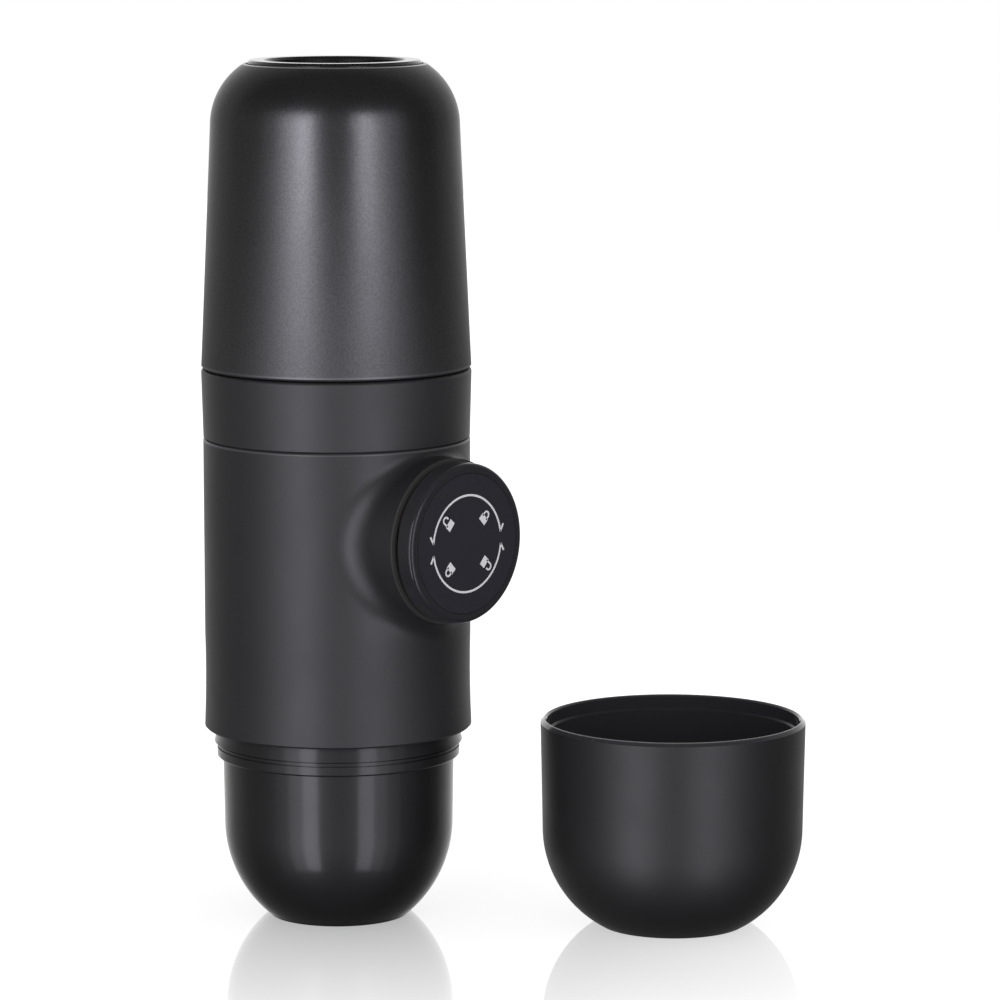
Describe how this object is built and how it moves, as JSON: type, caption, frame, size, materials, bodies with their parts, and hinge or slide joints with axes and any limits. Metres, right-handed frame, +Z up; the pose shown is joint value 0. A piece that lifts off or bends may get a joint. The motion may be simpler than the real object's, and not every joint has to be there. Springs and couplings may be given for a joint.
{
  "type": "handheld manual espresso maker",
  "caption": "Tubular hand-pumped espresso maker with a screw-on water tank, a side push knob that twists to lock, a domed outlet head and a round cup that caps it.",
  "frame": {"origin": "centre of the flat foot of the outlet head, on the maker's axis, where it stands on the table", "axes": "+Z up the maker's axis from the outlet to the water tank, -Y the way the pump knob faces, +X to the right of the knob seen from the front"},
  "size_m": [0.102, 0.1207, 0.1904],
  "materials": {
    "head_gloss": "gloss black moulded plastic",
    "housing_soft": "soft-touch matte black",
    "collar_soft": "soft-touch matte black",
    "tank_satin": "satin dark grey with a fine grain",
    "cup_satin": "satin black with a gloss rim",
    "knob_gloss": "satin-gloss black",
    "knob_face": "satin black with white print",
    "inner_plastic": "dark grey glass-filled nylon",
    "silicone": "translucent grey silicone",
    "steel": "stainless steel"
  },
  "bodies": {
    "housing": {"main_housing": "housing_soft", "guide_barrel": "inner_plastic", "coupling_collar": "collar_soft", "collar_screws": "steel", "inlet_strainer": "inner_plastic", "vent_valve": "silicone", "pump_block": "inner_plastic", "cylinder_gland": "inner_plastic", "inlet_port_seal": "silicone", "outlet_port_seal": "silicone", "pump_screws": "steel", "shower_screen": "steel", "screen_screw": "steel", "return_spring": "steel"},
    "tank_seat": {"tank_seal": "silicone"},
    "tank": {"tank_shell": "tank_satin", "tank_foot_ring": "head_gloss"},
    "filter": {"filter_adapter": "inner_plastic", "filter_basket": "steel", "adapter_gasket": "silicone"},
    "head": {"outlet_head": "head_gloss", "outlet_nozzle": "head_gloss"},
    "inlet_valve": {"inlet_valve": "silicone"},
    "outlet_valve": {"outlet_valve": "silicone"},
    "pump_rod": {"piston": "inner_plastic", "piston_seal": "silicone", "piston_rod": "steel", "rod_screw": "steel"},
    "knob": {"knob": "knob_gloss", "knob_face": "knob_face"},
    "cup": {"cup": "cup_satin"}
  },
  "joints": [
    {"name": "tank_rise", "type": "slide", "parent": "housing", "child": "tank_seat", "axis": [0, 0, 1], "range_m": [0, 0.009]},
    {"name": "tank_turn", "type": "hinge", "parent": "tank_seat", "child": "tank", "pos_m": [0, 0, 0.13], "axis": [0, 0, 1], "range_deg": [0, 810]},
    {"name": "head_drop", "type": "slide", "parent": "housing", "child": "filter", "axis": [0, 0, -1], "range_m": [0, 0.009]},
    {"name": "head_turn", "type": "hinge", "parent": "filter", "child": "head", "pos_m": [0, 0, 0.04], "axis": [0, 0, -1], "range_deg": [0, 810]},
    {"name": "knob_pump", "type": "slide", "parent": "housing", "child": "pump_rod", "axis": [0, -1, 0], "range_m": [0, 0.018], "deforming": ["return_spring"]},
    {"name": "knob_turn", "type": "hinge", "parent": "pump_rod", "child": "knob", "pos_m": [0, -0.03, 0.0875], "axis": [0, 1, 0], "range_deg": [0, 60]},
    {"name": "inlet_valve_open", "type": "slide", "parent": "housing", "child": "inlet_valve", "axis": [0, 0, -1], "range_m": [0, 0.0012], "stiffness_N_per_m": 60},
    {"name": "outlet_valve_open", "type": "slide", "parent": "housing", "child": "outlet_valve", "axis": [0, 0, -1], "range_m": [0, 0.0012], "stiffness_N_per_m": 60},
    {"name": "cup_lift", "type": "slide", "parent": "housing", "child": "cup", "axis": [0.6, -0.2, 0.7746], "range_m": [0, 0.1]}
  ],
  "couplings": [
    {"joint": "tank_rise", "follows": "tank_turn", "m_per_rad": 0.00063662},
    {"joint": "head_drop", "follows": "head_turn", "m_per_rad": 0.00063662}
  ]
}
